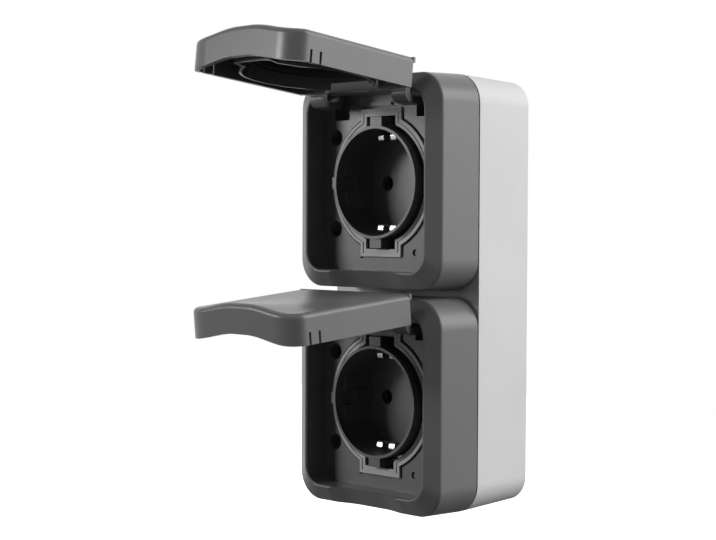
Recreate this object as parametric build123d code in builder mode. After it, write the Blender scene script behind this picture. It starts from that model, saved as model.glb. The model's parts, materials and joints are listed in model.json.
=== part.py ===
"""Surface-mounted outdoor twin socket: one wall box, two framed sockets, each under its own hinged lid.

The wall is the plane y = 0, the front faces -Y and +Z is up. Depths below are measured forward from the wall.
"""

import os
from math import cos, hypot, radians, sin, tan

from build123d import *

# Overall form: the wall box and the two frames on it
frame_width = 72.8
frame_height = 78.5
module_pitch = 81.0
box_depth = 29.0
box_draft = 2.5
box_wall = 2.4
back_wall = 2.6
corner_radius = 11.0
gasket_thickness = 0.6
gasket_inset = 0.6
gasket_width = 1.9

# Frame: drafted sides, a sloping bezel and a recess that takes the lid
frame_side = 18.8
frame_draft = 1.5
frame_wall = 2.2
bezel_rise = 3.8
bezel_width = 6.3
opening_radius = 7.0
recess_depth = 10.5
floor_thickness = 2.2
bezel_skin = 3.2
bezel_round = 1.0
opening_round = 0.7
finger_depth = 2.6
finger_lift = 0.15
finger_run_out = 1.6
finger_flat = 12.0
finger_shoulder = 15.0
stop_width = 10.2
stop_height = 1.2
stop_rise = 0.8
stop_below_opening = 3.5
pip_radius = 1.3
pip_depth = 0.7
pip_x = 16.8
pip_z = -25.6

# Screws that hold each frame to the box, in chimneys behind the recess floor
screw_x = 24.0
screw_z = 17.2
chimney_bore = 3.05
chimney_wall = 1.5
ledge_thickness = 2.5
screw_radius = 1.45
screw_length = 14.0
screw_end_gap = 0.5
screw_clearance = 0.3
thread_clearance = 0.05
head_radius = 2.6
head_height = 1.9
drive_radius = 1.1
drive_depth = 1.0
boss_radius = 4.0

# Socket well: a round cup whose rim stands proud of the recess floor
well_inner_radius = 19.75
well_wall = 1.05
well_depth = 17.5
well_floor = 2.0
rim_below_front = 6.0
pin_spacing = 19.0
pin_hole_radius = 2.75
tab_width = 5.7
tab_reach = 3.3
tab_below_rim = 1.0
tab_length = 7.0
key_height = 4.4
key_proud = 0.9
key_length = 3.0
guide_height = 5.8
guide_proud = 2.4
guide_below_rim = 9.0
flat_sag = 2.2
flat_below_rim = 3.6
clip_height = 8.0
clip_thickness = 1.5
clip_hook = 1.3
clip_clearance = 0.1

# Light seal on the recess floor, round the well and its two tabs
seal_inner_radius = 22.2
seal_width = 2.8
seal_rise = 0.8
lobe_width = 14.8
lobe_height = 49.0
seal_groove = 0.6
seal_groove_depth = 0.4
floor_groove = 0.8
floor_groove_depth = 0.9

# Contacts behind the well
carrier_width = 38.0
carrier_height = 36.0
carrier_depth = 14.8
carrier_radius = 4.0
sleeve_bore = 2.5
sleeve_wall = 0.7
sleeve_clearance = 0.2
sleeve_slot = 0.8
sleeve_slot_length = 8.0
sleeve_set_back = 0.5
bar_thickness = 1.2
bar_width = 7.0
bar_top = 4.0
bar_bottom = -15.0
block_height = 7.0
block_depth = 6.0
terminal_radius = 1.2
terminal_length = 5.0
terminal_head_radius = 2.2
terminal_head = 1.8
ear_width = 14.0
ear_reach = 11.5
ear_thickness = 2.5
ear_set_back = 5.0
ear_screw_offset = 7.5
strap_width = 8.8
strap_thickness = 0.8
strap_clearance = 0.1
finger_width = 2.6
finger_z = 18.2
finger_fold = 10.4
finger_lean = 0.6
finger_bend = 2.8
finger_tail = 5.0
finger_tail_bend = 1.5
finger_radius = 0.8
finger_clearance = 0.25
earth_tab_length = 14.0
earth_screw_inset = 3.5

# Cable entries in the top and bottom walls of the box
entry_depth = 14.5
entry_radius = 10.5
grommet_flange = 2.1
grommet_flange_height = 1.0
grommet_clearance = 0.2
membrane_thickness = 1.2
membrane_rings = 3
membrane_groove = 0.5
wire_pass_radius = 7.0

# Holes for the wall screws
wall_hole_radius = 2.5
wall_hole_x = 26.0
wall_hole_from_centre = 29.0

# Hinge: short pins in the frame carry two gooseneck arms of the lid
axis_below_front = 7.0
axis_above_opening = 2.1
pin_radius = 1.0
pin_seat_clearance = 0.02
pin_running_clearance = 0.04
barrel_radius = 2.0
arm_inner_x = 17.5
arm_width = 7.0
arm_thickness = 2.4
arm_drop = 6.4
arm_reach = 8.7
arm_rise = 5.4
arm_bend = 2.4
pocket_clearance = 0.4
pocket_foot = 1.0
pocket_wall = 1.8
pocket_roof = 0.45
pocket_brow = 0.9
pin_inset = 0.2

# Lid: a shallow cap with a swelling at its free end
lid_width = 56.2
lid_start = 10.85
lid_length = 55.6
lid_height = 10.8
lid_above_axis = 7.65
lid_plate = 2.0
lid_wall = 1.8
lid_corner_run = 10.0
lid_corner_rise = 5.5
lid_lip = 1.0
lid_edge_round = 1.8
lid_wall_tilt = 0.2
notch_width = 27.0
notch_height = 3.6
swell_height = 3.0
swell_flat = 6.0
swell_margin = 0.3
swell_start = 14.0
swell_steps = 6
slit_width = 1.0
slit_height = 4.3
slit_from_end = 6.8
slit_spacing = 4.4
rib_thickness = 1.0
rib_above_seal = 0.15
stiffener_x = 12.0
stiffener_thickness = 1.2
stiffener_height = 4.0
lid_seal_overhang = 0.55
lid_seal_width = 3.0
lid_seal_lip = 1.2
lid_seal_step = 1.2
lid_seal_gap = 0.35

# How far each lid stands open
upper_open = 96.1
lower_open = 84.6

# Depths and sizes that follow
frame_back = box_depth + gasket_thickness
bezel_edge = frame_back + frame_side
front = bezel_edge + bezel_rise
recess_floor = front - recess_depth
floor_back = recess_floor - floor_thickness
side_inset = frame_side * tan(radians(frame_draft))
edge_width = frame_width - 2 * side_inset
edge_height = frame_height - 2 * side_inset
edge_radius = corner_radius - side_inset
opening_width = edge_width - 2 * bezel_width
opening_height = edge_height - 2 * bezel_width
hollow_width = edge_width - 2 * frame_wall
hollow_height = edge_height - 2 * frame_wall
hollow_radius = edge_radius - frame_wall
box_height = module_pitch + frame_height
box_inset = box_depth * tan(radians(box_draft))
cavity_inset = (box_depth - back_wall) * tan(radians(box_draft))
cavity_width = frame_width - 2 * box_wall
cavity_height = frame_height - 2 * box_wall
cavity_radius = corner_radius - box_wall
rim = front - rim_below_front
well_radius = well_inner_radius + well_wall
well_floor_front = rim - well_depth
well_back = well_floor_front - well_floor
carrier_back = well_back - carrier_depth
ear_front = well_back - ear_set_back
ear_back = ear_front - ear_thickness
ear_screw_z = carrier_height / 2 + ear_screw_offset
seal_radius = seal_inner_radius + seal_width
seal_lobe_width = lobe_width + 2 * seal_width
seal_lobe_height = lobe_height + 2 * seal_width
seal_front = recess_floor + seal_rise
rib_radius = seal_inner_radius + seal_width / 2
rib_lobe_width = lobe_width + seal_width
rib_lobe_height = lobe_height + seal_width
axis_depth = front - axis_below_front
axis_height = opening_height / 2 + axis_above_opening
arm_outer_x = arm_inner_x + arm_width
pocket_inner_x = arm_inner_x - pocket_clearance
pocket_outer_x = arm_outer_x + pocket_clearance
pocket_width = pocket_outer_x - pocket_inner_x
housing_width = pocket_width + 2 * pocket_wall
housing_x = (pocket_inner_x + pocket_outer_x) / 2
arm_low = arm_drop + arm_thickness / 2
pocket_back = axis_depth - arm_low - pocket_clearance
pocket_front = axis_depth + barrel_radius + pocket_clearance
pocket_top = axis_height + barrel_radius + pocket_clearance
pocket_bottom = axis_height - arm_reach - arm_thickness / 2 - pocket_foot
lid_end = lid_start + lid_length
lid_rim = lid_above_axis - lid_height
lid_half = lid_width / 2
trim_height = 3 * lid_height
lid_brow = lid_above_axis - lid_edge_round / 2
web_half = (module_pitch - cavity_height) / 2 + cavity_inset
shoulder_end = finger_flat / 2 + finger_shoulder
scoop_start = bezel_edge - finger_run_out * bezel_rise / bezel_width
scoop_run = hypot(bezel_rise, bezel_width) * (1 + 2 * finger_run_out / bezel_width)
screw_head_seat = frame_back + ledge_thickness


def face(depth, centre=0.0, across=0.0):
    """A plane at a depth in front of the wall, x to the right, y up, looking forward."""
    return Plane(origin=(across, -depth, centre), x_dir=(1, 0, 0), z_dir=(0, -1, 0))


def rounded_loft(near, near_size, far, far_size, centre, mode=Mode.ADD):
    """A block between two rounded rectangles, each given by width, height and corner radius."""
    sections = []
    for depth, size in ((near, near_size), (far, far_size)):
        with BuildSketch(face(depth, centre)) as section:
            RectangleRounded(*size)
        sections.append(section.sketch)
    loft(sections, mode=mode)


def lobed(radius, width, height, mode=Mode.ADD):
    """A circle with a lobe above and below it, drawn in the current sketch."""
    Circle(radius, mode=mode)
    Rectangle(width, height, mode=mode)


def pan_head_screw(plane, radius, length, head, height):
    """A pan head on the plane with its shank behind it and a round drive in its face."""
    with BuildSketch(plane) as head_outline:
        Circle(head)
    extrude(head_outline.sketch, amount=height)
    with BuildSketch(plane) as shank_outline:
        Circle(radius)
    extrude(shank_outline.sketch, amount=-length)
    with BuildSketch(plane.offset(height)) as drive_outline:
        RegularPolygon(drive_radius, 6)
    extrude(drive_outline.sketch, amount=-drive_depth, mode=Mode.SUBTRACT)


def lid_loft(hinge, first, last, half, low, high):
    """A bar along the lid that swells in its middle towards the free end, low and high side alike."""
    flat = swell_flat / 2
    foot = lid_half - lid_wall - swell_margin
    swell_from = lid_start + swell_start
    sections = []
    for step in range(swell_steps + 1):
        along = first + (last - first) * step / swell_steps
        swell = swell_height * (max(along - swell_from, 0) / (lid_end - swell_from)) ** 2
        plane = Plane(hinge.from_local_coords((0, -along, 0)), hinge.x_dir, -hinge.y_dir)
        with BuildSketch(plane) as section:
            with BuildLine():
                for level in (low, high):
                    Line((-half, level), (-foot, level))
                    Spline((-foot, level), (-flat, level + swell), tangents=((1, 0), (1, 0)))
                    Line((-flat, level + swell), (flat, level + swell))
                    Spline((flat, level + swell), (foot, level), tangents=((1, 0), (1, 0)))
                    Line((foot, level), (half, level))
                Line((-half, low), (-half, high))
                Line((half, low), (half, high))
            make_face()
        sections.append(section.sketch)
    loft(sections)


def lid_outline(first, last, width, run, rise):
    """The lid seen from the front, its free corners drawn in by long curves, in the current sketch."""
    half = width / 2
    with BuildLine() as outline:
        Polyline((-half, rise - last), (-half, -first), (half, -first), (half, rise - last))
        EllipticalCenterArc((half - run, rise - last), run, rise, 270)
        Line((half - run, -last), (run - half, -last))
        EllipticalCenterArc((run - half, rise - last), run, rise, 180)
    make_face(outline.edges())


def finish(builder, name):
    """Labels a finished piece and writes it."""
    builder.part.label = name
    export_step(builder.part, f"parts/{name}.step")


os.makedirs("parts", exist_ok=True)
modules = (("upper", module_pitch / 2, upper_open), ("lower", -module_pitch / 2, lower_open))

# Wall box: a drafted tray with one bay behind each frame
with BuildPart() as back_box:
    rounded_loft(
        box_depth, (frame_width, box_height, corner_radius),
        0, (frame_width - 2 * box_inset, box_height - 2 * box_inset, corner_radius - box_inset), 0,
    )
    for _, centre, _ in modules:
        rounded_loft(
            box_depth, (cavity_width, cavity_height, cavity_radius),
            back_wall,
            (cavity_width - 2 * cavity_inset, cavity_height - 2 * cavity_inset, cavity_radius - cavity_inset),
            centre, Mode.SUBTRACT,
        )
        with BuildSketch(face(back_wall, centre)):
            with GridLocations(2 * screw_x, 2 * screw_z, 2, 2):
                Circle(boss_radius)
        extrude(amount=frame_back - back_wall)
        with BuildSketch(face(back_wall, centre)):
            with GridLocations(0, 2 * ear_screw_z, 1, 2):
                Circle(boss_radius)
        extrude(amount=ear_back - back_wall)
        with BuildSketch(face(frame_back, centre)):
            with GridLocations(2 * screw_x, 2 * screw_z, 2, 2):
                Circle(screw_radius + thread_clearance)
        extrude(amount=-screw_length, mode=Mode.SUBTRACT)
        with BuildSketch(face(ear_back, centre)):
            with GridLocations(0, 2 * ear_screw_z, 1, 2):
                Circle(screw_radius + thread_clearance)
        extrude(amount=-(ear_back - back_wall), mode=Mode.SUBTRACT)
    with BuildSketch(face(0)):
        with GridLocations(2 * wall_hole_x, module_pitch + 2 * wall_hole_from_centre, 2, 2):
            Circle(wall_hole_radius)
    extrude(amount=back_wall, mode=Mode.SUBTRACT)
    with BuildSketch(Plane.XY):
        with Locations((0, -entry_depth)):
            Circle(wire_pass_radius)
    extrude(amount=web_half, both=True, mode=Mode.SUBTRACT)
    entry_rise = box_height / 2 - (box_depth - entry_depth) * tan(radians(box_draft))
    entries = []
    for side in (1, -1):
        entries.append(
            Plane(
                origin=(0, -entry_depth, side * entry_rise),
                x_dir=(1, 0, 0),
                z_dir=(0, sin(radians(box_draft)), side * cos(radians(box_draft))),
            )
        )
        with BuildSketch(entries[-1]):
            Circle(entry_radius)
        extrude(amount=-2 * box_wall, mode=Mode.SUBTRACT)
finish(back_box, "back_box")

# Cable grommets: soft plugs with a grooved membrane, one in the top wall and one in the bottom
for name, entry in zip(("top_cable_grommet", "bottom_cable_grommet"), entries):
    inner_face = box_wall * cos(radians(box_draft))
    with BuildPart() as grommet:
        with BuildSketch(entry):
            Circle(entry_radius + grommet_flange)
        extrude(amount=grommet_flange_height)
        with BuildSketch(entry):
            Circle(entry_radius - grommet_clearance)
        extrude(amount=-inner_face)
        with BuildSketch(entry.offset(-inner_face)):
            Circle(entry_radius + grommet_flange / 2)
        extrude(amount=-grommet_flange_height)
        with BuildSketch(entry.offset(-inner_face - grommet_flange_height)):
            Circle(entry_radius - grommet_flange)
        extrude(amount=inner_face + 2 * grommet_flange_height - membrane_thickness, mode=Mode.SUBTRACT)
        with BuildSketch(entry.offset(grommet_flange_height)):
            for ring in range(1, membrane_rings + 1):
                ring_radius = (entry_radius - grommet_flange) * ring / membrane_rings
                Circle(ring_radius)
                Circle(ring_radius - membrane_groove, mode=Mode.SUBTRACT)
        extrude(amount=-membrane_groove, mode=Mode.SUBTRACT)
    finish(grommet, name)

for module, centre, open_angle in modules:
    # Frame gasket: a flat ring between the frame's back edge and the box
    with BuildPart() as frame_gasket:
        with BuildSketch(face(box_depth, centre)):
            outer_width = frame_width - 2 * gasket_inset
            outer_height = frame_height - 2 * gasket_inset
            outer_radius = corner_radius - gasket_inset
            RectangleRounded(outer_width, outer_height, outer_radius)
            RectangleRounded(
                outer_width - 2 * gasket_width, outer_height - 2 * gasket_width,
                outer_radius - gasket_width, mode=Mode.SUBTRACT,
            )
        extrude(amount=gasket_thickness)
    finish(frame_gasket, f"{module}_frame_gasket")

    # Frame: drafted skirt, sloping bezel, recess with its floor, chimneys and hinge pockets
    with BuildPart() as frame:
        rounded_loft(
            frame_back, (frame_width, frame_height, corner_radius),
            bezel_edge, (edge_width, edge_height, edge_radius), centre,
        )
        rounded_loft(
            bezel_edge, (edge_width, edge_height, edge_radius),
            front, (opening_width, opening_height, opening_radius), centre,
        )
        fillet(frame.edges().filter_by_position(Axis.Y, -bezel_edge, -bezel_edge), bezel_round)
        with BuildSketch(face(frame_back, centre)):
            RectangleRounded(hollow_width, hollow_height, hollow_radius)
        extrude(amount=floor_back - frame_back, mode=Mode.SUBTRACT)
        with BuildSketch(face(floor_back, centre)):
            RectangleRounded(hollow_width, hollow_height, hollow_radius)
            RectangleRounded(
                opening_width + 2 * frame_wall, opening_height + 2 * frame_wall,
                opening_radius + frame_wall, mode=Mode.SUBTRACT,
            )
        extrude(amount=bezel_edge - bezel_skin - floor_back, mode=Mode.SUBTRACT)
        housing_top = pocket_top + pocket_roof
        housing_bottom = pocket_bottom - pocket_wall
        with BuildSketch(face(pocket_back - pocket_wall, centre)):
            with Locations((0, (housing_top + housing_bottom) / 2)):
                with GridLocations(2 * housing_x, 0, 2, 1):
                    Rectangle(housing_width, housing_top - housing_bottom)
        extrude(amount=pocket_front + pocket_brow - pocket_back + pocket_wall)
        with BuildSketch(face(recess_floor, centre)):
            RectangleRounded(opening_width, opening_height, opening_radius)
        extrude(amount=recess_depth, mode=Mode.SUBTRACT)
        fillet(frame.edges().filter_by_position(Axis.Y, -front, -front), opening_round)
        with BuildSketch(face(recess_floor, centre)):
            with Locations((0, opening_height / 2 - stop_below_opening)):
                Rectangle(stop_width, stop_height)
        extrude(amount=stop_rise)
        with BuildSketch(face(pocket_back, centre)):
            with Locations((0, (pocket_top + pocket_bottom) / 2)):
                with GridLocations(2 * housing_x, 0, 2, 1):
                    Rectangle(pocket_width, pocket_top - pocket_bottom)
        extrude(amount=pocket_front - pocket_back, mode=Mode.SUBTRACT)
        for side in (1, -1):
            with BuildSketch(Plane.YZ.offset(side * housing_x)):
                with Locations((-axis_depth, centre + axis_height)):
                    Circle(pin_radius + pin_seat_clearance)
            extrude(amount=housing_width / 2, both=True, mode=Mode.SUBTRACT)
        with BuildSketch(face(recess_floor, centre)):
            with GridLocations(2 * screw_x, 2 * screw_z, 2, 2):
                Circle(chimney_bore + chimney_wall)
        extrude(amount=frame_back - recess_floor)
        with BuildSketch(face(recess_floor, centre)):
            with GridLocations(2 * screw_x, 2 * screw_z, 2, 2):
                Circle(chimney_bore)
        extrude(amount=screw_head_seat - recess_floor, mode=Mode.SUBTRACT)
        with BuildSketch(face(screw_head_seat, centre)):
            with GridLocations(2 * screw_x, 2 * screw_z, 2, 2):
                Circle(screw_radius + screw_clearance)
        extrude(amount=-ledge_thickness, mode=Mode.SUBTRACT)
        with BuildSketch(face(recess_floor, centre)):
            lobed(seal_inner_radius, lobe_width, lobe_height)
        extrude(amount=-floor_thickness, mode=Mode.SUBTRACT)
        with BuildSketch(face(recess_floor, centre)):
            lobed(
                seal_radius + floor_groove,
                seal_lobe_width + 2 * floor_groove,
                seal_lobe_height + 2 * floor_groove,
            )
            lobed(seal_radius, seal_lobe_width, seal_lobe_height, mode=Mode.SUBTRACT)
        extrude(amount=-floor_groove_depth, mode=Mode.SUBTRACT)
        with BuildSketch(face(recess_floor, centre)):
            with Locations((pip_x, pip_z)):
                Circle(pip_radius)
        extrude(amount=-pip_depth, mode=Mode.SUBTRACT)
        with BuildSketch(Plane.XY.offset(centre - edge_height / 2 - finger_run_out)):
            with BuildLine():
                flat = finger_flat / 2
                deep = finger_depth - scoop_start
                lip = -finger_lift - scoop_start
                clear = lip - finger_depth
                Spline((-shoulder_end, lip), (-flat, deep), tangents=((1, 0), (1, 0)))
                Line((-flat, deep), (flat, deep))
                Spline((flat, deep), (shoulder_end, lip), tangents=((1, 0), (1, 0)))
                Polyline(
                    (shoulder_end, lip), (shoulder_end, clear), (-shoulder_end, clear), (-shoulder_end, lip)
                )
            make_face()
        extrude(amount=scoop_run, dir=(0, -bezel_rise, bezel_width), mode=Mode.SUBTRACT)
    finish(frame, f"{module}_frame")

    # Frame screws: four pan heads sunk in the chimneys
    with BuildPart() as frame_screws:
        for across in (-screw_x, screw_x):
            for up in (-screw_z, screw_z):
                seat = face(screw_head_seat, centre + up, across)
                shank = ledge_thickness + screw_length - screw_end_gap
                pan_head_screw(seat, screw_radius, shank, head_radius, head_height)
    finish(frame_screws, f"{module}_frame_screws")

    # Socket well: a cup with side flats, guides, a key, end tabs and clips that hook behind the carrier
    with BuildPart() as socket_well:
        with BuildSketch(face(well_back, centre)):
            Circle(well_radius)
        extrude(amount=rim - well_back)
        with BuildSketch(face(well_floor_front, centre)):
            Circle(well_inner_radius)
        extrude(amount=well_depth, mode=Mode.SUBTRACT)
        with BuildSketch(face(well_floor_front, centre)):
            Circle(well_inner_radius + well_wall / 2)
            Rectangle(2 * (well_inner_radius - flat_sag), 2 * well_radius, mode=Mode.SUBTRACT)
            Rectangle(2 * well_radius, guide_height, mode=Mode.SUBTRACT)
        extrude(amount=well_depth - flat_below_rim)
        with BuildSketch(face(well_floor_front, centre)):
            Circle(well_inner_radius + well_wall / 2)
            Circle(well_inner_radius - guide_proud, mode=Mode.SUBTRACT)
            Rectangle(2 * well_radius, guide_height, mode=Mode.INTERSECT)
        extrude(amount=well_depth - guide_below_rim)
        with BuildSketch(face(rim - tab_below_rim, centre)):
            with GridLocations(0, 2 * well_radius + tab_reach - well_wall / 2, 1, 2):
                Rectangle(tab_width, tab_reach + well_wall / 2)
        extrude(amount=-tab_length)
        with BuildSketch(face(rim, centre)):
            with Locations((-well_radius - key_proud / 2 + well_wall / 4, 0)):
                Rectangle(key_proud + well_wall / 2, key_height)
        extrude(amount=-key_length)
        clip_inner = carrier_width / 2 + clip_clearance
        with BuildSketch(face(well_floor_front, centre)):
            with GridLocations(2 * clip_inner + clip_thickness, 0, 2, 1):
                Rectangle(clip_thickness, clip_height)
        extrude(amount=carrier_back - clip_clearance - clip_hook - well_floor_front)
        with BuildSketch(face(carrier_back - clip_clearance, centre)):
            with GridLocations(2 * clip_inner + clip_thickness - clip_hook, 0, 2, 1):
                Rectangle(clip_thickness + clip_hook, clip_height)
        extrude(amount=-clip_hook)
        with BuildSketch(face(well_floor_front, centre)):
            with GridLocations(pin_spacing, 0, 2, 1):
                Circle(pin_hole_radius)
            with GridLocations(0, 2 * finger_z, 1, 2):
                Rectangle(strap_width + 2 * finger_clearance, strap_thickness + 2 * finger_clearance)
        extrude(amount=-well_floor, mode=Mode.SUBTRACT)
    finish(socket_well, f"{module}_socket_well")

    # Well seal: the light band on the recess floor, with a fine groove along its middle
    with BuildPart() as well_seal:
        with BuildSketch(face(recess_floor, centre)):
            lobed(seal_radius, seal_lobe_width, seal_lobe_height)
            lobed(seal_inner_radius, lobe_width, lobe_height, mode=Mode.SUBTRACT)
        extrude(amount=seal_rise)
        with BuildSketch(face(seal_front, centre)):
            near = (seal_width - seal_groove) / 2
            far = near + seal_groove
            lobed(seal_inner_radius + far, lobe_width + 2 * far, lobe_height + 2 * far)
            lobed(seal_inner_radius + near, lobe_width + 2 * near, lobe_height + 2 * near, mode=Mode.SUBTRACT)
        extrude(amount=-seal_groove_depth, mode=Mode.SUBTRACT)
    finish(well_seal, f"{module}_well_seal")

    # Contact carrier: the moulded block behind the well, screwed to the box by its two ears
    with BuildPart() as contact_carrier:
        with BuildSketch(face(carrier_back, centre)):
            RectangleRounded(carrier_width, carrier_height, carrier_radius)
        extrude(amount=carrier_depth)
        with BuildSketch(face(ear_back, centre)):
            RectangleRounded(ear_width, carrier_height + 2 * ear_reach, carrier_radius)
        extrude(amount=ear_thickness)
        with BuildSketch(face(ear_front, centre)):
            with GridLocations(0, 2 * ear_screw_z, 1, 2):
                Circle(screw_radius + screw_clearance)
        extrude(amount=-ear_thickness, mode=Mode.SUBTRACT)
        with BuildSketch(face(carrier_back, centre)):
            with GridLocations(pin_spacing, 0, 2, 1):
                Circle(sleeve_bore + sleeve_wall + sleeve_clearance)
        extrude(amount=carrier_depth, mode=Mode.SUBTRACT)
        with BuildSketch(face(well_back, centre)):
            Rectangle(strap_width + 2 * strap_clearance, carrier_height)
        extrude(amount=-strap_thickness, mode=Mode.SUBTRACT)
        with BuildSketch(face(ear_front, centre)):
            with Locations((0, -(carrier_height + strap_thickness) / 2)):
                Rectangle(strap_width + 2 * strap_clearance, strap_thickness + 2 * strap_clearance)
        extrude(amount=-ear_thickness, mode=Mode.SUBTRACT)
        earth_depth = well_back - earth_tab_length + earth_screw_inset
        with BuildSketch(Plane.XY.offset(centre - carrier_height / 2)):
            with Locations((0, -earth_depth)):
                Circle(terminal_radius + thread_clearance)
        extrude(amount=terminal_length, mode=Mode.SUBTRACT)
    finish(contact_carrier, f"{module}_contact_carrier")

    # Earth strap: sprung fingers in the well, top and bottom, and a tab for the earth wire
    with BuildPart() as earth_strap:
        strap_top = finger_z + strap_thickness / 2
        strap_bottom = -carrier_height / 2 - strap_thickness
        with BuildSketch(face(well_back, centre)):
            with Locations((0, (strap_top + strap_bottom) / 2)):
                Rectangle(strap_width, strap_top - strap_bottom)
        extrude(amount=-strap_thickness)
        with BuildSketch(Plane.XY.offset(centre + strap_bottom)):
            with Locations((0, earth_tab_length / 2 - well_back)):
                Rectangle(strap_width, earth_tab_length)
        extrude(amount=strap_thickness)
        with BuildSketch(Plane.XY.offset(centre + strap_bottom)):
            with Locations((0, -earth_depth)):
                Circle(terminal_radius + thread_clearance)
        extrude(amount=strap_thickness, mode=Mode.SUBTRACT)
        for side in (1, -1):
            for edge in (strap_width / 2, finger_width - strap_width / 2):
                with BuildSketch(Plane(origin=(edge, 0, centre), x_dir=(0, -1, 0), z_dir=(-1, 0, 0))):
                    with BuildLine():
                        FilletPolyline(
                            (well_back - strap_thickness / 2, side * finger_z),
                            (well_floor_front + finger_fold, side * finger_z),
                            (well_floor_front + finger_fold - finger_lean, side * (finger_z - finger_bend)),
                            (well_floor_front + finger_tail, side * (finger_z - finger_tail_bend)),
                            radius=finger_radius,
                        )
                        offset(amount=strap_thickness / 2)
                    make_face()
                extrude(amount=finger_width)
    finish(earth_strap, f"{module}_earth_strap")

    # Pin contacts: a slit sleeve for the plug's pin, a bar behind the carrier and a terminal block
    block_depth_centre = carrier_back - bar_thickness - block_depth / 2
    terminal_planes = []
    for name, across in (("left", -pin_spacing / 2), ("right", pin_spacing / 2)):
        with BuildPart() as contact:
            with BuildSketch(face(carrier_back, centre, across)):
                Circle(sleeve_bore + sleeve_wall)
            extrude(amount=carrier_depth - sleeve_set_back)
            with BuildSketch(face(carrier_back, centre, across)):
                with Locations((0, (bar_top + bar_bottom) / 2)):
                    Rectangle(bar_width, bar_top - bar_bottom)
            extrude(amount=-bar_thickness)
            with BuildSketch(face(carrier_back - bar_thickness, centre, across)):
                with Locations((0, bar_bottom + block_height / 2)):
                    Rectangle(bar_width, block_height)
            extrude(amount=-block_depth)
            with BuildSketch(face(well_back - sleeve_set_back, centre, across)):
                Circle(sleeve_bore)
            extrude(amount=sleeve_set_back - carrier_depth, mode=Mode.SUBTRACT)
            with BuildSketch(face(well_back - sleeve_set_back, centre, across)):
                Rectangle(sleeve_slot, 2 * (sleeve_bore + sleeve_wall))
            extrude(amount=-sleeve_slot_length, mode=Mode.SUBTRACT)
            terminal = Plane((across, -block_depth_centre, centre + bar_bottom), (1, 0, 0), (0, 0, -1))
            terminal_planes.append(terminal)
            with BuildSketch(terminal):
                Circle(terminal_radius + thread_clearance)
            extrude(amount=-terminal_length - screw_end_gap, mode=Mode.SUBTRACT)
        finish(contact, f"{module}_{name}_contact")

    # Terminal screws: one under each contact's block and one in the earth tab
    terminal_planes.append(Plane((0, -earth_depth, centre + strap_bottom), (1, 0, 0), (0, 0, -1)))
    with BuildPart() as terminal_screws:
        for terminal in terminal_planes:
            pan_head_screw(terminal, terminal_radius, terminal_length, terminal_head_radius, terminal_head)
    finish(terminal_screws, f"{module}_terminal_screws")

    # Insert screws: they hold the carrier's ears to the box
    with BuildPart() as insert_screws:
        for up in (-ear_screw_z, ear_screw_z):
            seat = face(ear_front, centre + up)
            pan_head_screw(seat, screw_radius, screw_length, head_radius, head_height)
    finish(insert_screws, f"{module}_insert_screws")

    # Hinge pins: one short pin through each hinge pocket
    with BuildPart() as hinge_pins:
        for side in (1, -1):
            with BuildSketch(Plane.YZ.offset(side * housing_x)):
                with Locations((-axis_depth, centre + axis_height)):
                    Circle(pin_radius)
            extrude(amount=housing_width / 2 - pin_inset, both=True)
    finish(hinge_pins, f"{module}_hinge_pins")

    # Lid: the hinge plane turns with the lid, x across, -y towards its free end, z outwards
    # Its hollow leaves a lobed rib standing that comes down on the well's seal, and two stiffeners
    lean = radians(open_angle)
    hinge = Plane((0, -axis_depth, centre + axis_height), (1, 0, 0), (0, -cos(lean), sin(lean)))
    with BuildPart() as lid_cavity:
        lid_loft(
            hinge, lid_start + lid_wall, lid_end - lid_wall,
            lid_half - lid_wall, lid_rim - lid_wall, lid_above_axis - lid_plate,
        )
        with BuildSketch(hinge.offset(lid_rim - lid_height)):
            lid_outline(
                lid_start + lid_wall, lid_end - lid_wall, lid_width - 2 * lid_wall,
                lid_corner_run - lid_wall, lid_corner_rise - lid_wall,
            )
        extrude(amount=trim_height, mode=Mode.INTERSECT)
        with BuildSketch(hinge.offset(seal_front + rib_above_seal - axis_depth)):
            with Locations((0, -axis_height)):
                lobed(
                    rib_radius + rib_thickness / 2,
                    rib_lobe_width + rib_thickness,
                    rib_lobe_height + rib_thickness,
                )
                lobed(
                    rib_radius - rib_thickness / 2,
                    rib_lobe_width - rib_thickness,
                    rib_lobe_height - rib_thickness,
                    mode=Mode.SUBTRACT,
                )
        extrude(amount=trim_height, mode=Mode.SUBTRACT)
        stiffener_start = axis_height + (rib_radius**2 - stiffener_x**2) ** 0.5
        with BuildSketch(hinge.offset(lid_above_axis - lid_plate - stiffener_height)):
            with Locations((0, -(stiffener_start + lid_end) / 2)):
                with GridLocations(2 * stiffener_x, 0, 2, 1):
                    Rectangle(stiffener_thickness, lid_end - stiffener_start)
        extrude(amount=trim_height, mode=Mode.SUBTRACT)
    with BuildPart() as lid:
        lid_loft(hinge, lid_start, lid_end, lid_half, lid_rim, lid_above_axis)
        with BuildSketch(hinge.offset(lid_rim - lid_height)):
            lid_outline(lid_start, lid_end, lid_width, lid_corner_run, lid_corner_rise)
        extrude(amount=trim_height, mode=Mode.INTERSECT)
        sides = lid.faces().filter_by(lambda wall: abs(wall.normal_at().dot(hinge.z_dir)) < lid_wall_tilt)
        outer_edges = sides.edges().filter_by(lambda edge: hinge.to_local_coords(edge @ 0.5).Z > lid_brow)
        fillet(outer_edges, lid_edge_round)
        add(lid_cavity.part, mode=Mode.SUBTRACT)
        with BuildSketch(hinge.offset(lid_above_axis)):
            with Locations((0, lid_lip / 2 - lid_start)):
                Rectangle(lid_width, lid_lip)
        extrude(amount=-lid_plate)
        with BuildSketch(hinge.offset(lid_rim)):
            with Locations((0, -lid_start - lid_wall / 2)):
                Rectangle(notch_width, 2 * lid_wall)
        extrude(amount=notch_height, mode=Mode.SUBTRACT)
        with BuildSketch(hinge.offset(lid_rim)):
            with Locations((0, slit_from_end + slit_spacing / 2 - lid_end)):
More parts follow.
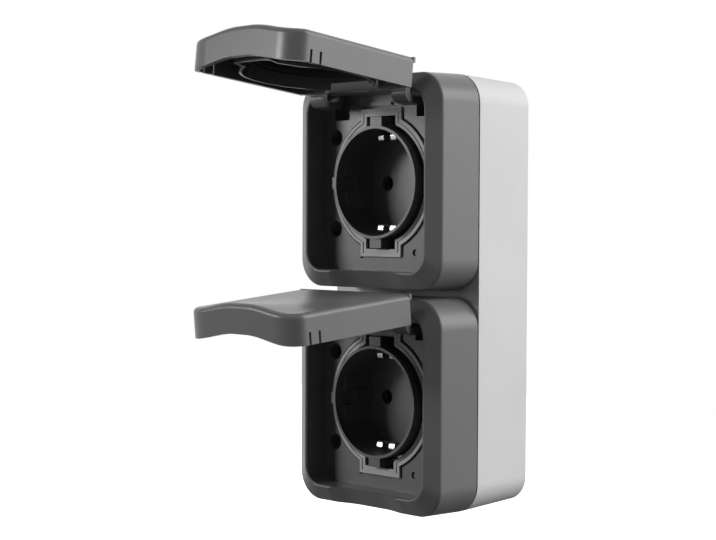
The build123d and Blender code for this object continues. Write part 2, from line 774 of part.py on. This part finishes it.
                with GridLocations(lid_width - lid_wall, slit_spacing, 2, 2):
                    Rectangle(2 * lid_wall, slit_width)
        extrude(amount=slit_height, mode=Mode.SUBTRACT)
        for edge in (arm_outer_x, -arm_inner_x):
            arm_plane = Plane(hinge.from_local_coords((edge, 0, 0)), -hinge.y_dir, -hinge.x_dir)
            with BuildSketch(arm_plane):
                with BuildLine():
                    FilletPolyline(
                        (0, 0), (0, -arm_drop), (arm_reach, -arm_drop),
                        (arm_reach, arm_rise - arm_drop), (lid_start + lid_wall / 2, arm_rise - arm_drop),
                        radius=arm_bend,
                    )
                    offset(amount=arm_thickness / 2)
                make_face()
                Circle(barrel_radius)
                Circle(pin_radius + pin_running_clearance, mode=Mode.SUBTRACT)
            extrude(amount=arm_width)
    finish(lid, f"{module}_lid")

    # Lid seal: a soft ring inside the lid's rib that meets the well's rim
    with BuildPart() as lid_seal:
        seal_face = rim + lid_seal_gap - axis_depth
        seal_outer = well_radius + lid_seal_overhang
        with BuildSketch(hinge.offset(seal_face + lid_seal_step)):
            with Locations((0, -axis_height)):
                Circle(seal_outer)
                Circle(seal_outer - lid_seal_width, mode=Mode.SUBTRACT)
        extrude(amount=lid_above_axis - lid_plate - seal_face - lid_seal_step)
        with BuildSketch(hinge.offset(seal_face)):
            with Locations((0, -axis_height)):
                Circle(well_radius)
                Circle(well_radius - lid_seal_lip, mode=Mode.SUBTRACT)
        extrude(amount=lid_seal_step)
    finish(lid_seal, f"{module}_lid_seal")
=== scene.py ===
import json
from math import pi, radians

import bmesh
import bpy
from mathutils import Matrix, Vector


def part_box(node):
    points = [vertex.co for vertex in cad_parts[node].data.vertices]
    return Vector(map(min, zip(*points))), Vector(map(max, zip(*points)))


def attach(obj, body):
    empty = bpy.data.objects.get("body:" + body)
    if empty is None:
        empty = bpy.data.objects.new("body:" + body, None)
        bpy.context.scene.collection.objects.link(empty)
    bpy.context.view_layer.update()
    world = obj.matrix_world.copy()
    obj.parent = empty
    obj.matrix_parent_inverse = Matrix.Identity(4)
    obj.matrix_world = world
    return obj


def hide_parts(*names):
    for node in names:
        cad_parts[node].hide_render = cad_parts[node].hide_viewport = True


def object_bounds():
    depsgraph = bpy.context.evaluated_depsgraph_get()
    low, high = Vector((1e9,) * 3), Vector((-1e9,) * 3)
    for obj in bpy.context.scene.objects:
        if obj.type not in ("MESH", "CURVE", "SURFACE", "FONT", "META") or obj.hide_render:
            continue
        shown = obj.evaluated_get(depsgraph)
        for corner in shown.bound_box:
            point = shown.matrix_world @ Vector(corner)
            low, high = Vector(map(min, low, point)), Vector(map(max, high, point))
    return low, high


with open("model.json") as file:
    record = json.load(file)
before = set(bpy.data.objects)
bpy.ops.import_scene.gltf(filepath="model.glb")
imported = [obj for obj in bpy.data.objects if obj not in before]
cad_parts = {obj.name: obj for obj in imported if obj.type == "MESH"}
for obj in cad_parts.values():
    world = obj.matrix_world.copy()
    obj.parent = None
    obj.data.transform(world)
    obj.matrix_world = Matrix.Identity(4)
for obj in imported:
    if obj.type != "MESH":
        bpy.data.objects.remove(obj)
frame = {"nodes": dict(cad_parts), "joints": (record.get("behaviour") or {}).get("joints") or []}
cad_low, cad_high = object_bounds()

# Wall box. A deep tray with drafted walls, moulded in one piece in pale grey weatherproof plastic.
# The tool leaves a fine satin grain on it. It is screwed to the wall through its back,
# and both sockets are wired inside it.
MM = 0.001
BOX_GREY = (0.66, 0.66, 0.655)
BOX_ROUGHNESS = 0.5
BOX_SPECULAR = 0.3
BOX_GRAIN = 0.006 * MM
CLOUD_LOW, CLOUD_HIGH = 0.3, 0.7
TINT_PATCH = 30 * MM
TINT_SPREAD = 0.03
GLOSS_PATCH = 6 * MM
GLOSS_SPREAD = 0.04
GRAIN_SIZE = 0.35 * MM
nodes = frame["nodes"]


def wire(tree, source, target):
    """Links an output socket to an input socket."""
    tree.links.new(source, target)


def finish_of(name, roughness, metallic=0.0, specular=0.5):
    """A new material with plain shader values, its tree, its shader and its object coordinates."""
    material = bpy.data.materials.new(name)
    material.use_nodes = True
    tree = material.node_tree
    shader = tree.nodes["Principled BSDF"]
    shader.inputs["Roughness"].default_value = roughness
    shader.inputs["Metallic"].default_value = metallic
    shader.inputs["Specular IOR Level"].default_value = specular
    place = tree.nodes.new("ShaderNodeTexCoord").outputs["Object"]
    return material, tree, shader, place


def noise(tree, place, size, detail=2.0):
    """Cloudy noise whose blotches are about the given size."""
    texture = tree.nodes.new("ShaderNodeTexNoise")
    texture.inputs["Scale"].default_value = 1 / size
    texture.inputs["Detail"].default_value = detail
    wire(tree, place, texture.inputs["Vector"])
    return texture.outputs["Fac"]


def shades(tree, fac, colour, spread):
    """A colour that drifts by the given share to either side as fac goes from low to high."""
    ramp = tree.nodes.new("ShaderNodeValToRGB")
    for stop, share in zip(ramp.color_ramp.elements, (1 - spread, 1 + spread)):
        stop.color = (*(min(channel * share, 1) for channel in colour), 1)
    ramp.color_ramp.elements[0].position = CLOUD_LOW
    ramp.color_ramp.elements[1].position = CLOUD_HIGH
    wire(tree, fac, ramp.inputs["Fac"])
    return ramp.outputs["Color"]


def spread_between(tree, fac, low, high):
    """A number that goes from low to high with fac."""
    span = tree.nodes.new("ShaderNodeMapRange")
    span.inputs["To Min"].default_value = low
    span.inputs["To Max"].default_value = high
    wire(tree, fac, span.inputs["Value"])
    return span.outputs["Result"]


def grained(tree, shader, height, depth):
    """Raises the surface by up to the given depth where height is high."""
    bump = tree.nodes.new("ShaderNodeBump")
    bump.inputs["Distance"].default_value = depth
    wire(tree, height, bump.inputs["Height"])
    wire(tree, bump.outputs["Normal"], shader.inputs["Normal"])


def moulded_plastic(name, colour, roughness, grain_depth, specular):
    """Moulded plastic: a fine eroded grain from the tool, and a colour and gloss that drift a little."""
    material, tree, shader, place = finish_of(name, roughness, specular=specular)
    tint = shades(tree, noise(tree, place, TINT_PATCH), colour, TINT_SPREAD)
    wire(tree, tint, shader.inputs["Base Color"])
    patches = noise(tree, place, GLOSS_PATCH)
    gloss = spread_between(tree, patches, roughness - GLOSS_SPREAD, roughness + GLOSS_SPREAD)
    wire(tree, gloss, shader.inputs["Roughness"])
    grained(tree, shader, noise(tree, place, GRAIN_SIZE, 3.0), grain_depth)
    return material


def dress(material, *names):
    """Gives CAD nodes a finish."""
    for name in names:
        for slot in nodes[name].material_slots:
            slot.material = material


dress(moulded_plastic("box_plastic", BOX_GREY, BOX_ROUGHNESS, BOX_GRAIN, BOX_SPECULAR), "back_box")

# Cable grommets. Soft moulded plugs pressed into round holes in the top and bottom walls.
# A barbed skirt holds each behind the wall, and the stepped membrane inside its flange
# is cut open to suit the cable.
GROMMET_GREY = (0.5, 0.5, 0.49)
GROMMET_ROUGHNESS = 0.7
GROMMET_STEPS = 72
GROMMET_ROUND = 0.14 * MM
BLOOM_PATCH = 8 * MM
BLOOM_SPREAD = 0.08
RUBBER_SPECULAR = 0.25
RUBBER_GRAIN_SIZE = 0.25 * MM
RUBBER_GRAIN = 0.01 * MM
WELD = 0.001 * MM
CREASE = radians(40)
BOX_WALL = 2.4
BOX_DRAFT = radians(2.5)
GROMMET_OUTLINE = (
    (0.0, 0.3), (1.1, 0.3), (1.5, 0.75), (2.6, 0.75), (3.0, 0.45), (4.2, 0.45), (4.6, 0.85), (5.6, 0.85),
    (6.0, 0.5), (7.4, 0.5), (7.9, 1.0), (12.2, 1.0), (12.6, 0.7), (12.6, 0.0), (10.3, 0.0),
    (10.3, -BOX_WALL), (11.55, -BOX_WALL), (11.0, -BOX_WALL - 1.0), (8.4, -BOX_WALL - 1.0),
    (8.4, -0.3), (0.0, -0.3),
)


def soft_rubber(name, colour, roughness):
    """Matt rubber with a dusty bloom."""
    material, tree, shader, place = finish_of(name, roughness, specular=RUBBER_SPECULAR)
    bloom = shades(tree, noise(tree, place, BLOOM_PATCH, 4.0), colour, BLOOM_SPREAD)
    wire(tree, bloom, shader.inputs["Base Color"])
    grained(tree, shader, noise(tree, place, RUBBER_GRAIN_SIZE, 3.0), RUBBER_GRAIN)
    return material


def turned(shape, outline, steps, closed=False):
    """Spins an outline of (radius, height) pairs in millimetres round the Z axis into a closed skin."""
    points = [shape.verts.new((radius * MM, 0, height * MM)) for radius, height in outline]
    pairs = list(zip(points, points[1:]))
    if closed:
        pairs.append((points[-1], points[0]))
    edges = [shape.edges.new(pair) for pair in pairs]
    bmesh.ops.spin(
        shape, geom=points + edges, cent=(0, 0, 0), axis=(0, 0, 1), angle=2 * pi, steps=steps,
        use_merge=True,
    )
    bmesh.ops.remove_doubles(shape, verts=shape.verts, dist=WELD)


def rounded(shape, offset, sharp=radians(28)):
    """Rounds every edge whose faces turn by more than the sharp angle."""
    edges = [edge for edge in shape.edges if edge.is_manifold and edge.calc_face_angle() > sharp]
    bmesh.ops.bevel(
        shape, geom=edges, offset=offset, offset_type="OFFSET", segments=2, profile=0.5, affect="EDGES",
        clamp_overlap=True, material=-1,
    )


def piece_of(name, shape, material, body, node):
    """Makes a shape a smooth piece that rides on a body and stands for a CAD node."""
    bmesh.ops.recalc_face_normals(shape, faces=shape.faces)
    mesh = bpy.data.meshes.new(name)
    shape.to_mesh(mesh)
    shape.free()
    mesh.materials.append(material)
    mesh.shade_smooth()
    mesh.set_sharp_from_angle(angle=CREASE)
    piece = bpy.data.objects.new(name, mesh)
    bpy.context.collection.objects.link(piece)
    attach(piece, body)
    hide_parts(node)


grommet_rubber = soft_rubber("grommet_rubber_soft", GROMMET_GREY, GROMMET_ROUGHNESS)
for end, side in (("top", 1), ("bottom", -1)):
    node = f"{end}_cable_grommet"
    low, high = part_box(node)
    shape = bmesh.new()
    turned(shape, GROMMET_OUTLINE, GROMMET_STEPS)
    rounded(shape, GROMMET_ROUND)
    lean = Matrix.Rotation(-BOX_DRAFT if side > 0 else pi + BOX_DRAFT, 4, "X")
    bmesh.ops.transform(shape, matrix=lean, verts=shape.verts)
    reach = max(side * vert.co.z for vert in shape.verts)
    middle = sum(vert.co.y for vert in shape.verts) / len(shape.verts)
    outer = high.z if side > 0 else -low.z
    seat = Vector((0, (low.y + high.y) / 2 - middle, side * (outer - reach)))
    bmesh.ops.translate(shape, verts=shape.verts, vec=seat)
    piece_of(f"{end}_grommet", shape, grommet_rubber, "housing", node)

# Frame gaskets. Thin flat rings of black foam rubber, punched from sheet.
# Each is squeezed between a frame and the front edge of the box, and only its edge shows.
SOCKETS = ("upper", "lower")
SEAL_BLACK = (0.02, 0.02, 0.02)
SEAL_ROUGHNESS = 0.75
black_seal = soft_rubber("black_seal", SEAL_BLACK, SEAL_ROUGHNESS)
dress(black_seal, *(f"{socket}_frame_gasket" for socket in SOCKETS))

# Contact carriers. Cream thermoset blocks, pressed hard and a little glossy.
# Each clips behind a socket well and holds the metal parts apart.
CARRIER_CREAM = (0.62, 0.6, 0.53)
CARRIER_ROUGHNESS = 0.4
CARRIER_SPECULAR = 0.5
CARRIER_GRAIN = 0.003 * MM
carrier_plastic = moulded_plastic(
    "carrier_thermoset", CARRIER_CREAM, CARRIER_ROUGHNESS, CARRIER_GRAIN, CARRIER_SPECULAR
)
dress(carrier_plastic, *(f"{socket}_contact_carrier" for socket in SOCKETS))

# Contacts. Rolled brass sleeves with a slit, nickel-plated, on a bar with a terminal block.
# They drop into the carrier from behind, and the plug's pins spread the sleeves.
# The plated brass is set much darker than its own tone as painted shade, so the contacts look as dark as
# the shade deep in the pin holes.
SHADE_DARKENED_BRASS = (0.3, 0.285, 0.25)
BRASS_ROUGHNESS = 0.3
SKIN_PATCH = 4 * MM
SKIN_SPREAD = 0.06
DULL_PATCH = 1.5 * MM
DULL_LOSS, DULL_GAIN = 0.08, 0.12
DRAWN_SIZE = 0.12 * MM
DRAWN_DEPTH = 0.003 * MM


def bare_metal(name, colour, roughness):
    """Bare or plated metal with fine drawing marks and patches of duller skin."""
    material, tree, shader, place = finish_of(name, roughness, metallic=1.0)
    skin = shades(tree, noise(tree, place, SKIN_PATCH, 4.0), colour, SKIN_SPREAD)
    wire(tree, skin, shader.inputs["Base Color"])
    patches = noise(tree, place, DULL_PATCH, 4.0)
    dull = spread_between(tree, patches, roughness - DULL_LOSS, roughness + DULL_GAIN)
    wire(tree, dull, shader.inputs["Roughness"])
    grained(tree, shader, noise(tree, place, DRAWN_SIZE, 2.0), DRAWN_DEPTH)
    return material


shade_darkened_brass = bare_metal("shade_darkened_brass", SHADE_DARKENED_BRASS, BRASS_ROUGHNESS)
for socket in SOCKETS:
    dress(shade_darkened_brass, f"{socket}_left_contact", f"{socket}_right_contact")

# Earth straps. One strip of bright nickel-plated spring steel for each socket, stamped and folded.
# It lies on the carrier, and its four hooked fingers come through slots at the top and bottom
# of the well.
NICKEL = (0.5, 0.495, 0.48)
NICKEL_ROUGHNESS = 0.22
nickel_strip = bare_metal("nickel_strip", NICKEL, NICKEL_ROUGHNESS)
dress(nickel_strip, *(f"{socket}_earth_strap" for socket in SOCKETS))

# Terminal screws. Small zinc-plated steel screws that clamp the wires in the contacts' blocks
# and in the earth strap's tab, driven from below.
ZINC_STEEL = (0.56, 0.57, 0.58)
ZINC_ROUGHNESS = 0.35
zinc_steel = bare_metal("zinc_steel", ZINC_STEEL, ZINC_ROUGHNESS)
dress(zinc_steel, *(f"{socket}_terminal_screws" for socket in SOCKETS))

# Socket wells. Round cups in nearly black plastic, a little glossier than the frames.
# Each has a rim, flats and guides at its sides, one key and two end tabs, and hooks over its carrier.
WELL_GREY = (0.1, 0.1, 0.1)
WELL_ROUGHNESS = 0.38
WELL_SPECULAR = 0.4
WELL_GRAIN = 0.002 * MM
well_plastic = moulded_plastic(
    "well_plastic_smooth", WELL_GREY, WELL_ROUGHNESS, WELL_GRAIN, WELL_SPECULAR
)
dress(well_plastic, *(f"{socket}_socket_well" for socket in SOCKETS))

# Insert screws. Two zinc-plated cross-head screws hold each carrier's ears to posts in the box.
# They are turned and rolled: a domed pan head, a tapered cross and a coarse thread for plastic.
HEAD_RADIUS = 2.6
HEAD_HEIGHT = 1.9
HEAD_DOME = ((2.1, 1.72), (2.42, 1.35))
HEAD_SKIRT = 0.75
THREAD_RADIUS = 1.45
THREAD_ROOT = 1.1
THREAD_PITCH = 1.0
THREAD_START = 0.4
THREAD_FLANK = 0.4
THREAD_CREST = 0.1
TIP_LENGTH = 1.2
TIP_RADIUS = 0.5
CROSS_ARM = 1.35
CROSS_HALF = 0.34
CROSS_DEPTH = 1.1
CROSS_FOOT = 0.62
CROSS_RING = 1.7
SCREW_STEPS = 48


def pan_head_screw(seat, length):
    """A cross-head screw with its head on the seat, facing -Y, and its thread behind it."""
    screw = bmesh.new()
    outline = [(CROSS_RING, HEAD_HEIGHT), *HEAD_DOME, (HEAD_RADIUS, HEAD_SKIRT), (HEAD_RADIUS, 0.0)]
    outline.append((THREAD_ROOT, 0.0))
    for ridge in range(int((length - TIP_LENGTH) / THREAD_PITCH)):
        top = -THREAD_START - ridge * THREAD_PITCH
        crest = top - THREAD_FLANK
        outline += [(THREAD_ROOT, top), (THREAD_RADIUS, crest), (THREAD_RADIUS, crest - THREAD_CREST)]
        outline.append((THREAD_ROOT, crest - THREAD_CREST - THREAD_FLANK))
    outline += [(TIP_RADIUS, -length), (0.0, -length)]
    turned(screw, outline, SCREW_STEPS)
    ring = [edge for edge in screw.edges if edge.is_boundary]
    sides = ((1, 0), (0, 1), (-1, 0), (0, -1))
    corners = []
    for along_x, along_y in sides:
        corners += [
            (CROSS_ARM * along_x + CROSS_HALF * along_y, CROSS_ARM * along_y - CROSS_HALF * along_x),
            (CROSS_ARM * along_x - CROSS_HALF * along_y, CROSS_ARM * along_y + CROSS_HALF * along_x),
            (CROSS_HALF * (along_x - along_y), CROSS_HALF * (along_y + along_x)),
        ]
    cross = [screw.verts.new((x * MM, y * MM, HEAD_HEIGHT * MM)) for x, y in corners]
    cross_edges = [screw.edges.new(pair) for pair in zip(cross, cross[1:] + cross[:1])]
    cuts = SCREW_STEPS // len(corners) - 1
    bmesh.ops.subdivide_edges(screw, edges=cross_edges, cuts=cuts)
    loop = [edge for edge in screw.edges if edge.is_wire]
    bmesh.ops.bridge_loops(screw, edges=ring + loop)
    mouth = bmesh.ops.contextual_create(screw, geom=[edge for edge in screw.edges if edge.is_boundary])
    sunk = bmesh.ops.extrude_face_region(screw, geom=mouth["faces"])
    bmesh.ops.delete(screw, geom=mouth["faces"], context="FACES_ONLY")
    foot = [vert for vert in sunk["geom"] if isinstance(vert, bmesh.types.BMVert)]
    bmesh.ops.scale(screw, vec=(CROSS_FOOT, CROSS_FOOT, 1), verts=foot)
    bmesh.ops.translate(screw, vec=(0, 0, -CROSS_DEPTH * MM), verts=foot)
    turn = Matrix.Translation(seat) @ Matrix.Rotation(pi / 2, 4, "X")
    bmesh.ops.transform(screw, matrix=turn, verts=screw.verts)
    return screw


def screw_set(node, columns):
    """Screws in one or two columns of two, with their heads and tips where the CAD node has them."""
    low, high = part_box(node)
    length = (high.y - low.y) / MM - HEAD_HEIGHT
    half = HEAD_RADIUS * MM
    across = (low.x + half, high.x - half) if columns == 2 else ((low.x + high.x) / 2,)
    shape = bmesh.new()
    for x in across:
        for z in (low.z + half, high.z - half):
            screw = pan_head_screw(Vector((x, low.y + HEAD_HEIGHT * MM, z)), length)
            part = bpy.data.meshes.new("screw")
            screw.to_mesh(part)
            screw.free()
            shape.from_mesh(part)
            bpy.data.meshes.remove(part)
    return shape


for socket in SOCKETS:
    node = f"{socket}_insert_screws"
    piece_of(f"{socket}_carrier_screws", screw_set(node, 1), zinc_steel, "housing", node)

# Frames. Dark grey weatherproof plastic with the same satin grain as the box, one for each socket.
# The sloping bezel with its finger dip, the recess, the four screw chimneys and the hinge pockets
# are one moulding.
FRAME_GREY = (0.155, 0.155, 0.155)
FRAME_ROUGHNESS = 0.3
FRAME_SPECULAR = 0.28
FRAME_GRAIN = 0.004 * MM
frame_plastic = moulded_plastic(
    "frame_plastic", FRAME_GREY, FRAME_ROUGHNESS, FRAME_GRAIN, FRAME_SPECULAR
)
dress(frame_plastic, *(f"{socket}_frame" for socket in SOCKETS))

# Frame screws. Four of the same cross-head screws for each frame, sunk in its chimneys.
# They pull the frame down on its gasket and bite into the box's corner posts.
for socket in SOCKETS:
    node = f"{socket}_frame_screws"
    piece_of(f"{socket}_chimney_screws", screw_set(node, 2), zinc_steel, "housing", node)

# Well seals. A soft light band with a fine groove, moulded on the recess floor of each frame.
# It runs round the well and its two tabs, and the lid's rib closes on it.
BAND_GREY = (0.55, 0.55, 0.55)
BAND_ROUGHNESS = 0.55
light_seal = soft_rubber("light_seal", BAND_GREY, BAND_ROUGHNESS)
dress(light_seal, *(f"{socket}_well_seal" for socket in SOCKETS))

# Hinge pins. Two short plated steel pins for each lid, pressed into the pockets' cheeks.
# The lid's arms turn on them with enough friction to stay where they are put.
dress(zinc_steel, *(f"{socket}_hinge_pins" for socket in SOCKETS))

# Lids. Shallow caps in the frames' plastic, whose free end swells so that a finger gets under it.
# Two gooseneck arms, moulded with the cap, reach round the bezel to the pins.
dress(frame_plastic, *(f"{socket}_lid" for socket in SOCKETS))

# Lid seals. Soft black rings pressed into the lids inside their ribs.
# A narrow lip stands on each ring and meets the well's rim when the lid is shut.
LID_SEAL_OUTLINE = (
    (18.35, 0.0), (21.35, 0.0), (21.35, 3.1), (20.8, 3.1),
    (20.6, 4.3), (19.8, 4.3), (19.6, 3.1), (18.35, 3.1),
)
LID_SEAL_ROUND = 0.22 * MM
LID_SEAL_STEPS = 96
LID_SEAL_BACK = 50.85
hinges = {joint["child"]: joint for joint in frame["joints"]}
for socket in SOCKETS:
    hinge = hinges[f"{socket}_cover"]
    frame_low, frame_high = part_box(f"{socket}_frame")
    centre = Vector((0, -LID_SEAL_BACK * MM, (frame_low.z + frame_high.z) / 2))
    pin = Vector(hinge["pos_m"])
    shape = bmesh.new()
    turned(shape, LID_SEAL_OUTLINE, LID_SEAL_STEPS, closed=True)
    rounded(shape, LID_SEAL_ROUND)
    shut = Matrix.Translation(centre) @ Matrix.Rotation(-pi / 2, 4, "X")
    open_turn = Matrix.Rotation(-radians(hinge["range_deg"][1]), 4, "X")
    swing = Matrix.Translation(pin) @ open_turn @ Matrix.Translation(-pin)
    bmesh.ops.transform(shape, matrix=swing @ shut, verts=shape.verts)
    node = f"{socket}_lid_seal"
    piece_of(f"{socket}_lid_ring", shape, black_seal, f"{socket}_cover", node)

# Stage. A white surround, and a wide pale floor far below the part, as if it hung on a wall.
# The floor is lit by the lamps and keeps the shadow, and glows white only well away from the part.
FLOOR_DROP = 0.8
FLOOR_SIZE = 12.0
FLOOR_PALE = (0.65, 0.65, 0.65, 1.0)
FLOOR_ROUGHNESS = 0.6
FLOOR_SPECULAR = 0.2
GLOW_START = 1.5
GLOW_FULL = 4.0
GLOW_FAINT = 0.03
NEAR_GLOW = 0.4
WHITE = (1.0, 1.0, 1.0, 1.0)
AMBIENT = 0.025


def background_ray(tree):
    """1 for rays that see the background as it is: from the camera, off gloss and through glass."""
    path = tree.nodes.new("ShaderNodeLightPath")
    total = path.outputs["Is Camera Ray"]
    for kind in ("Is Glossy Ray", "Is Transmission Ray"):
        both = tree.nodes.new("ShaderNodeMath")
        both.operation = "MAXIMUM"
        wire(tree, total, both.inputs[0])
        wire(tree, path.outputs[kind], both.inputs[1])
        total = both.outputs["Value"]
    return total


world = bpy.data.worlds.new("white_surround")
bpy.context.scene.world = world
world.use_nodes = True
sky = world.node_tree.nodes["Background"]
sky.inputs["Color"].default_value = WHITE
level = spread_between(world.node_tree, background_ray(world.node_tree), AMBIENT, 1.0)
wire(world.node_tree, level, sky.inputs["Strength"])

floor_mesh = bpy.data.meshes.new("floor")
shape = bmesh.new()
bmesh.ops.create_grid(shape, x_segments=1, y_segments=1, size=FLOOR_SIZE / 2)
bmesh.ops.translate(shape, verts=shape.verts, vec=(0, 0, cad_low.z - FLOOR_DROP))
shape.to_mesh(floor_mesh)
shape.free()
floor = bpy.data.objects.new("floor", floor_mesh)
bpy.context.collection.objects.link(floor)
floor_paint, tree, diffuse, place = finish_of("floor_white", FLOOR_ROUGHNESS, specular=FLOOR_SPECULAR)
diffuse.inputs["Base Color"].default_value = FLOOR_PALE
glow = tree.nodes.new("ShaderNodeEmission")
glow.inputs["Color"].default_value = WHITE
reach = tree.nodes.new("ShaderNodeVectorMath")
reach.operation = "LENGTH"
wire(tree, place, reach.inputs[0])
far = tree.nodes.new("ShaderNodeMapRange")
far.interpolation_type = "SMOOTHSTEP"
far.inputs["From Min"].default_value = GLOW_START
far.inputs["From Max"].default_value = GLOW_FULL
far.inputs["To Min"].default_value = GLOW_FAINT
wire(tree, reach.outputs["Value"], far.inputs["Value"])
seen = tree.nodes.new("ShaderNodeMath")
seen.operation = "MULTIPLY"
wire(tree, far.outputs["Result"], seen.inputs[0])
wire(tree, background_ray(tree), seen.inputs[1])
near = tree.nodes.new("ShaderNodeMath")
near.operation = "MULTIPLY_ADD"
near.inputs[1].default_value = NEAR_GLOW
wire(tree, tree.nodes.new("ShaderNodeLightPath").outputs["Is Camera Ray"], near.inputs[0])
wire(tree, seen.outputs["Value"], near.inputs[2])
wire(tree, near.outputs["Value"], glow.inputs["Strength"])
both = tree.nodes.new("ShaderNodeAddShader")
wire(tree, diffuse.outputs["BSDF"], both.inputs[0])
wire(tree, glow.outputs["Emission"], both.inputs[1])
wire(tree, both.outputs["Shader"], tree.nodes["Material Output"].inputs["Surface"])
floor_mesh.materials.append(floor_paint)

# Lamps. Gridded soft boxes, whose light is held to the part and mostly kept off the floor.
# The two large ones stand at the right, behind the wall's plane, and the small ones at the front left.
LAMP_FAN = radians(90)
RECESSES = (0, -0.05, 0.02)


def soft_box(name, place, aim, width, height, power):
    """A rectangular area lamp that faces a point."""
    lamp = bpy.data.lights.new(name, "AREA")
    lamp.shape = "RECTANGLE"
    lamp.size = width
    lamp.size_y = height
    lamp.energy = power
    lamp.spread = LAMP_FAN
    holder = bpy.data.objects.new(name, lamp)
    bpy.context.collection.objects.link(holder)
    holder.location = place
    holder.rotation_mode = "QUATERNION"
    holder.rotation_quaternion = (Vector(aim) - Vector(place)).to_track_quat("-Z", "Y")


soft_box("right_light", (1.0, 0.4, 0.7), (0, -0.03, 0.02), width=1.0, height=1.0, power=4.5)
soft_box("edge_light", (0.8, 0.9, 0.4), (0, 0, 0.03), width=0.9, height=0.9, power=1.9)
soft_box("left_light", (-0.72, -1.05, 0.34), RECESSES, width=0.3, height=0.13, power=1.35)
soft_box("low_light", (-0.95, -0.95, 0.13), RECESSES, width=0.3, height=0.2, power=0.4)

# Camera. A long lens a little above the middle of the part.
# It is turned to show the part's front and its right side, as in the photograph.
IMAGE_WIDTH = 716
FOCAL_PIXELS = 1591.72
SENSOR_WIDTH = 36.0
CAMERA_PLACE = (0.408747, -0.464834, 0.026265)
CAMERA_TURN = radians(44.863)
CAMERA_DOWN = radians(1.76)
CAMERA_ROLL = radians(0.255)
camera_data = bpy.data.cameras.new("camera")
camera_data.sensor_width = SENSOR_WIDTH
camera_data.lens = FOCAL_PIXELS / IMAGE_WIDTH * SENSOR_WIDTH
camera = bpy.data.objects.new("camera", camera_data)
bpy.context.collection.objects.link(camera)
turn = Matrix.Rotation(CAMERA_TURN, 4, "Z")
tip = Matrix.Rotation(pi / 2 - CAMERA_DOWN, 4, "X")
roll = Matrix.Rotation(CAMERA_ROLL, 4, "Z")
camera.matrix_world = Matrix.Translation(CAMERA_PLACE) @ turn @ tip @ roll
bpy.context.scene.camera = camera
bpy.context.scene.view_settings.view_transform = "Standard"
